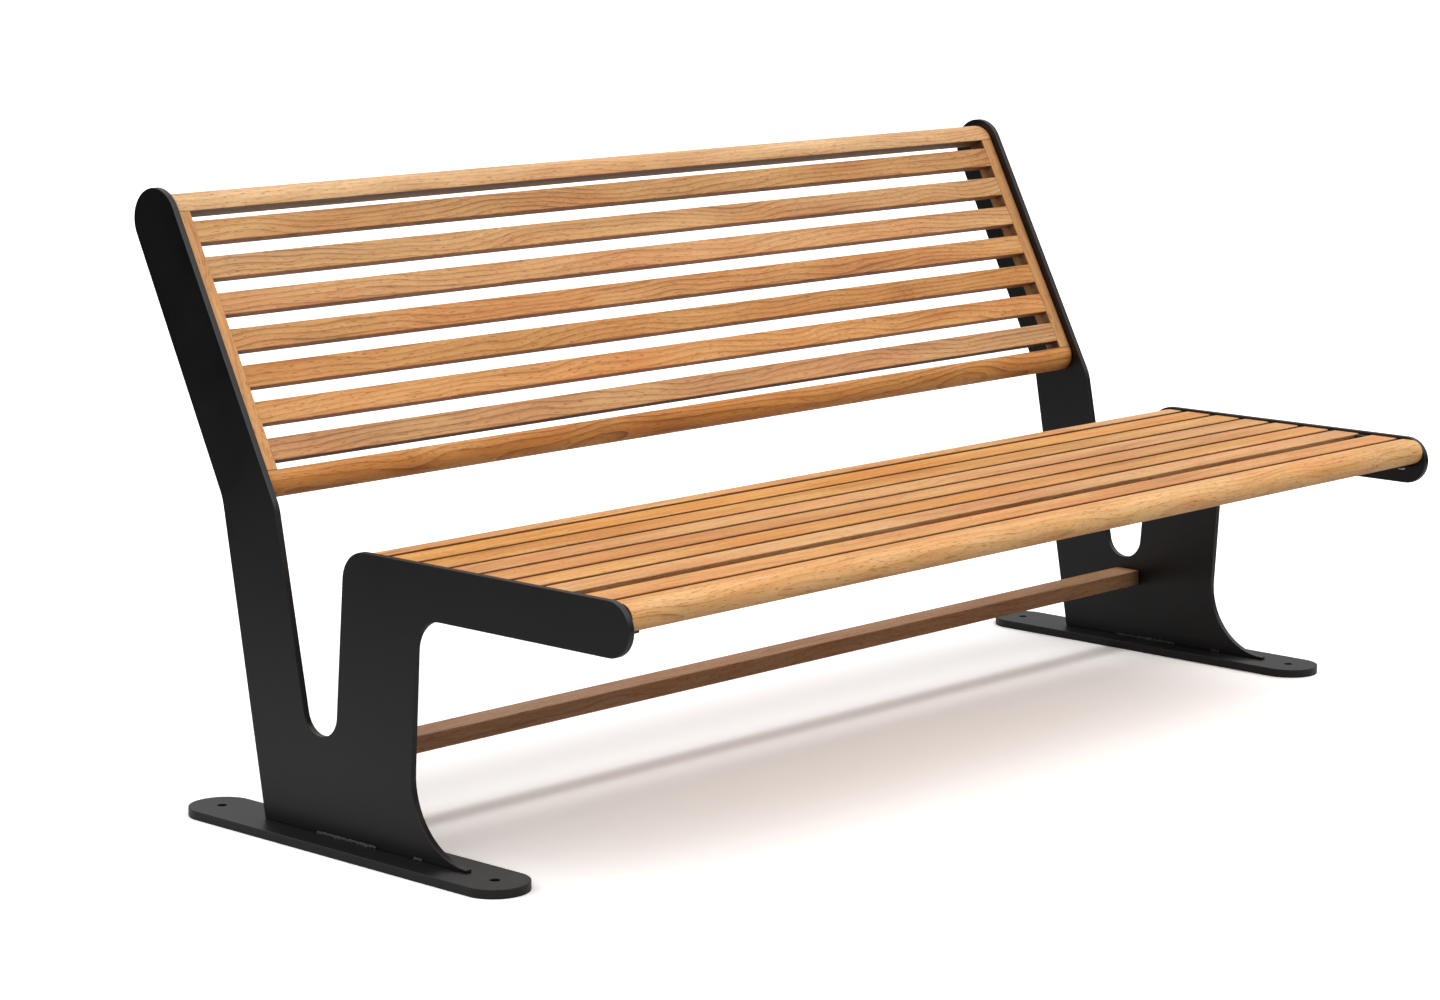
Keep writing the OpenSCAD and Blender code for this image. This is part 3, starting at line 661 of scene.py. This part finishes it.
BOTTOM_RAIL_HEIGHT = 32 * MM
BOTTOM_RAIL_ROUND = 27 * MM
TOP_RAIL_ROUND = 35 * MM
TOP_RAIL_DROP = 3 * MM
TOP_RAIL_VERTICES = 128
BOTTOM_RAIL_SEGMENTS = 18
RAIL_EASE = 1.0 * MM
STILE_EASE = 0.8 * MM


def leaning_size(low, high):
    """Depth and height of a board that leans with the panel, worked out from its box."""
    spread = high - low
    depth = (spread.y * math.cos(lean) - spread.z * math.sin(lean)) / math.cos(2 * lean)
    height = (spread.z * math.cos(lean) - spread.y * math.sin(lean)) / math.cos(2 * lean)
    return depth, height


def lower_front(a, b):
    """Is this the long edge at the bottom of the front?"""
    return runs_along(a, b) and max(a.y, b.y, a.z, b.z) < 0


stile_low, stile_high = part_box("back_stile_left")
rail_depth, stile_height = leaning_size(stile_low, stile_high)
frame_middle = (stile_low + stile_high) / 2
for side in ("left", "right"):
    low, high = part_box(f"back_stile_{side}")
    stile = add_board(f"stile_{side}", (low + high) / 2, (high.x - low.x, rail_depth, stile_height), lean)
    ease_edges(stile, STILE_EASE)
    settle(stile, 4.0 + 0.6 * (side == "left"))
    hand_over(stile, STILE_WOOD, "hardwood", f"back_stile_{side}")

low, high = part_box("back_bottom_rail")
rail_length = high.x - low.x
centre = frame_middle - up_panel * (stile_height + BOTTOM_RAIL_HEIGHT) / 2
centre.x = (low.x + high.x) / 2
rail = add_board("bottom_rail", centre, (rail_length, rail_depth, BOTTOM_RAIL_HEIGHT), lean)
round_edges(rail, lower_front, BOTTOM_RAIL_ROUND, BOTTOM_RAIL_SEGMENTS)
ease_edges(rail, RAIL_EASE)
settle(rail, 6.3)
hand_over(rail, BACK_WOOD, "hardwood", "back_bottom_rail")

pivot = frame_middle + up_panel * (stile_height / 2 + TOP_RAIL_DROP)
pivot += into_panel * (TOP_RAIL_ROUND - rail_depth / 2)
pivot.x = centre.x
deselect_all()
bpy.ops.mesh.primitive_cylinder_add(
    vertices=TOP_RAIL_VERTICES, radius=TOP_RAIL_ROUND, depth=rail_length,
    rotation=(0, math.radians(90), 0), location=(0, 0, 0),
)
rail = bpy.context.object
rail.name = "top_rail"
bpy.ops.object.transform_apply(location=False, rotation=True, scale=True)
bpy.ops.object.mode_set(mode="EDIT")
bpy.ops.mesh.select_all(action="SELECT")
bpy.ops.mesh.bisect(
    plane_co=(0, rail_depth - TOP_RAIL_ROUND, 0), plane_no=(0, 1, 0), clear_outer=True, use_fill=True
)
bpy.ops.mesh.select_all(action="SELECT")
bpy.ops.mesh.bisect(plane_co=(0, 0, 0), plane_no=(0, 0, -1), clear_outer=True, use_fill=True)
bpy.ops.mesh.extrude_region_move(TRANSFORM_OT_translate={"value": (0, 0, -TOP_RAIL_DROP)})
bpy.ops.object.mode_set(mode="OBJECT")
ease_edges(rail, RAIL_EASE)
rail.rotation_euler = (-lean, 0, 0)
rail.location = pivot
settle(rail, 7.9)
# The top rail takes the wood painted paler, as painted light on its round top.
hand_over(rail, ROUNDED_WOOD_PAINTED_LIGHT, "hardwood", "back_top_rail")

# ---------------------------------------------------------------- Backrest slats
# Seven slats, thinner than the frame and flush with its front, are tenoned into the
# stiles at both ends. Their long edges are lightly rounded.
BACK_EASE = 0.4 * MM
stile_inner = stile_high.x
for number in range(1, FLAT_SLATS + 1):
    low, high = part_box(f"back_slat_{number}")
    thick, wide = leaning_size(low, high)
    slat = add_board(f"backrest_slat_{number}", (low + high) / 2, (2 * abs(stile_inner), thick, wide), lean)
    round_edges(slat, runs_along, PLANED_ROUND, PLANED_SEGMENTS)
    ease_edges(slat, BACK_EASE)
    settle(slat, 12.1 + 1.37 * number)
    hand_over(slat, BACK_WOOD, "hardwood", f"back_slat_{number}")

# ---------------------------------------------------------------- Dowels
# Plain beech dowels, glued into the rails and the stile ends and out of sight.
BEECH = ((0.66, 0.47, 0.29, 1), (0.55, 0.37, 0.21, 1), (0.38, 0.23, 0.12, 1))
DOWEL_WOOD = hardwood("beech", *BEECH, 0.5, turned=(lean, math.radians(90), 0))
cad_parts["back_frame_dowels"].data.materials.clear()
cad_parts["back_frame_dowels"].data.materials.append(DOWEL_WOOD)

# ---------------------------------------------------------------- Screws
# Stainless pan-head screws with a socket drive hold the slats to the bearers, the stiles
# to their angles and the stretcher to its tongues. One screw of each row is made and copied.
STEEL_DULL = (0.42, 0.42, 0.43, 1)
STEEL_BRIGHT = (0.6, 0.6, 0.6, 1)

def stainless(name):
    """Turned stainless steel, a little dull, with fine turning marks."""
    material = bpy.data.materials.new(name)
    material.use_nodes = True
    tree = material.node_tree
    surface = tree.nodes["Principled BSDF"]
    place = tree.nodes.new("ShaderNodeTexCoord")
    marks = add_node(tree, "ShaderNodeTexNoise", Scale=1100.0, Detail=4.0, Roughness=0.6)
    tree.links.new(place.outputs["Object"], marks.inputs["Vector"])
    cloud = add_node(tree, "ShaderNodeTexNoise", Scale=90.0, Detail=3.0)
    tree.links.new(place.outputs["Object"], cloud.inputs["Vector"])
    clouded = remapped(tree, cloud.outputs[0], 0.35, 0.65, 0.0, 1.0)
    colour = blended(tree, clouded, STEEL_DULL, STEEL_BRIGHT)
    tree.links.new(colour, surface.inputs["Base Color"])
    tree.links.new(remapped(tree, marks.outputs[0], 0.3, 0.7, 0.26, 0.42), surface.inputs["Roughness"])
    bump = add_node(tree, "ShaderNodeBump", Strength=0.2, Distance=0.0001)
    tree.links.new(marks.outputs[0], bump.inputs["Height"])
    tree.links.new(bump.outputs[0], surface.inputs["Normal"])
    surface.inputs["Metallic"].default_value = 1.0
    return material


SCREW_STEEL = stainless("stainless steel")
HEAD_RADIUS = 6 * MM
HEAD_HEIGHT = 3.5 * MM
HEAD_DISH = 0.7 * MM
SOCKET_RADIUS = 2.7 * MM
SOCKET_DEPTH = 2 * MM
SHANK_RADIUS = 3 * MM
TIP_LENGTH = 1 * MM
TIP_TAPER = 0.7
SCREW_EDGE = 0.5 * MM
SCREW_ANGLE = 40
END_TOLERANCE = 0.01 * MM


def pick_end(piece, direction):
    """Selects the end face that looks up or down."""
    bpy.ops.object.mode_set(mode="EDIT")
    bpy.ops.mesh.select_mode(type="FACE")
    bpy.ops.mesh.select_all(action="DESELECT")
    bpy.ops.object.mode_set(mode="OBJECT")
    reach = max(f.center.z * direction for f in piece.data.polygons)
    for face in piece.data.polygons:
        face.select = face.normal.z * direction > 0.9 and face.center.z * direction > reach - END_TOLERANCE
    bpy.ops.object.mode_set(mode="EDIT")


def make_screw(shank_length):
    """A pan-head screw that points up, with the bearing face of its head at the origin."""
    deselect_all()
    bpy.ops.mesh.primitive_cylinder_add(
        vertices=24, radius=HEAD_RADIUS, depth=HEAD_HEIGHT, location=(0, 0, -HEAD_HEIGHT / 2)
    )
    screw = bpy.context.object
    bpy.ops.object.transform_apply(location=True, rotation=True, scale=True)
    pick_end(screw, 1)
    bpy.ops.mesh.inset(thickness=HEAD_RADIUS - SHANK_RADIUS)
    bpy.ops.mesh.extrude_region_move(TRANSFORM_OT_translate={"value": (0, 0, shank_length - TIP_LENGTH)})
    bpy.ops.mesh.extrude_region_move(TRANSFORM_OT_translate={"value": (0, 0, TIP_LENGTH)})
    bpy.ops.transform.resize(value=(TIP_TAPER, TIP_TAPER, 1))
    bpy.ops.object.mode_set(mode="OBJECT")
    pick_end(screw, -1)
    bpy.ops.mesh.inset(thickness=HEAD_DISH)
    bpy.ops.mesh.inset(thickness=HEAD_RADIUS - HEAD_DISH - SOCKET_RADIUS)
    bpy.ops.mesh.extrude_region_move(TRANSFORM_OT_translate={"value": (0, 0, SOCKET_DEPTH)})
    bpy.ops.object.mode_set(mode="OBJECT")
    ease_edges(screw, SCREW_EDGE, angle=SCREW_ANGLE)
    return screw


for node, tilt in (("seat_screws", 0.0), ("stretcher_screws", 0.0), ("back_screws", math.radians(90) - lean)):
    along = Vector((0, -math.sin(tilt), math.cos(tilt)))
    across = Vector((0, math.cos(tilt), -math.sin(tilt)))
    for side in ("left", "right"):
        boxes = loose_boxes(f"{node}_{side}")
        tall = boxes[0][1].z - boxes[0][0].z
        length = (tall - (HEAD_RADIUS + SHANK_RADIUS) * math.sin(tilt)) / math.cos(tilt)
        off_axis = across * (HEAD_RADIUS - SHANK_RADIUS) / 2 if tilt else Vector()
        master = make_screw(length - HEAD_HEIGHT)
        copies = []
        for low, high in boxes:
            screw = master.copy()
            screw.data = master.data.copy()
            bpy.context.scene.collection.objects.link(screw)
            only(screw)
            screw.rotation_euler = (tilt, 0, 0)
            screw.location = (low + high) / 2 - off_axis - along * (length / 2 - HEAD_HEIGHT)
            bpy.ops.object.transform_apply(location=True, rotation=True, scale=True)
            copies.append(screw)
        bpy.data.objects.remove(master)
        screws = join_as(copies, f"{node}_row_{side}")
        hand_over(screws, SCREW_STEEL, "fixings", f"{node}_{side}")

# ---------------------------------------------------------------- Stage
# A plain white floor, soft light from overhead with a small sun above and a wide one in front,
# and the camera. Away from the bench the floor throws no light back at it, and the dim sky
# low down is white only to the camera.
FLOOR_SEEN = 1.35
FLOOR_NEAR = 0.50
FLOOR_FAR = 0.01
FLOOR_SIZE = 160
FLOOR_SINK = 0.2 * MM
NEAR_REACH = 1.2
FAR_REACH = 3.8
HORIZON_RISE = 0.08
SKY_FULL = 0.55
SKY_LOW = 0.05
SKY_HIGH = 1.0
SUNS = (("overhead", 0.5, 14, (-0.03, -0.08, -1.0)), ("front", 1.0, 40, (-0.25, 0.75, -0.95)))
CAMERA_LENS = 93.15
CAMERA_PLACE = (-4.1092, -3.6773, 1.3449)
CAMERA_DIP = 9.993
CAMERA_TURN = -46.586
deselect_all()
bpy.ops.mesh.primitive_plane_add(size=FLOOR_SIZE, location=(0, 0, -FLOOR_SINK))
floor = bpy.context.object
floor.name = "floor"
paper = bpy.data.materials.new("floor paper")
paper.use_nodes = True
paper_tree = paper.node_tree
paper_surface = paper_tree.nodes["Principled BSDF"]
spot = paper_tree.nodes.new("ShaderNodeTexCoord")
reach = add_node(paper_tree, "ShaderNodeVectorMath", operation="LENGTH")
paper_tree.links.new(spot.outputs["Object"], reach.inputs[0])
returned = remapped(paper_tree, reach.outputs["Value"], NEAR_REACH, FAR_REACH, FLOOR_NEAR, FLOOR_FAR)
light_path = paper_tree.nodes.new("ShaderNodeLightPath")
shown = remapped(paper_tree, light_path.outputs["Is Camera Ray"], 0.0, 1.0, 0.0, FLOOR_SEEN)
shade = worked(paper_tree, "MAXIMUM", returned, shown)
paper_tree.links.new(shade, paper_surface.inputs["Base Color"])
paper_surface.inputs["Roughness"].default_value = 0.9
paper_surface.inputs["Specular IOR Level"].default_value = 0.0
floor.data.materials.append(paper)
floor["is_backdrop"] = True

world = bpy.data.worlds.new("studio")
world.use_nodes = True
sky_tree = world.node_tree
facing = sky_tree.nodes.new("ShaderNodeTexCoord")
parts = sky_tree.nodes.new("ShaderNodeSeparateXYZ")
sky_tree.links.new(facing.outputs["Generated"], parts.inputs[0])
glow = remapped(sky_tree, parts.outputs["Z"], HORIZON_RISE, SKY_FULL, SKY_LOW, SKY_HIGH)
sky_path = sky_tree.nodes.new("ShaderNodeLightPath")
glow = worked(sky_tree, "MAXIMUM", glow, sky_path.outputs["Is Camera Ray"])
sky_tree.links.new(glow, sky_tree.nodes["Background"].inputs["Strength"])
sky_tree.nodes["Background"].inputs["Color"].default_value = (1, 1, 1, 1)
bpy.context.scene.world = world

for name, energy, spread, heading in SUNS:
    sun = bpy.data.lights.new(name, "SUN")
    sun.energy = energy
    sun.angle = math.radians(spread)
    lamp = bpy.data.objects.new(name, sun)
    lamp.rotation_euler = Vector(heading).to_track_quat("-Z", "Y").to_euler()
    bpy.context.scene.collection.objects.link(lamp)

camera = bpy.data.cameras.new("camera")
camera.lens = CAMERA_LENS
camera.sensor_width = 36
camera.clip_end = 300
viewer = bpy.data.objects.new("camera", camera)
viewer.location = CAMERA_PLACE
viewer.rotation_euler = (math.radians(90 - CAMERA_DIP), 0, math.radians(CAMERA_TURN))
bpy.context.scene.collection.objects.link(viewer)
bpy.context.scene.camera = viewer
bpy.context.scene.view_settings.view_transform = "Standard"

low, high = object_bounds()
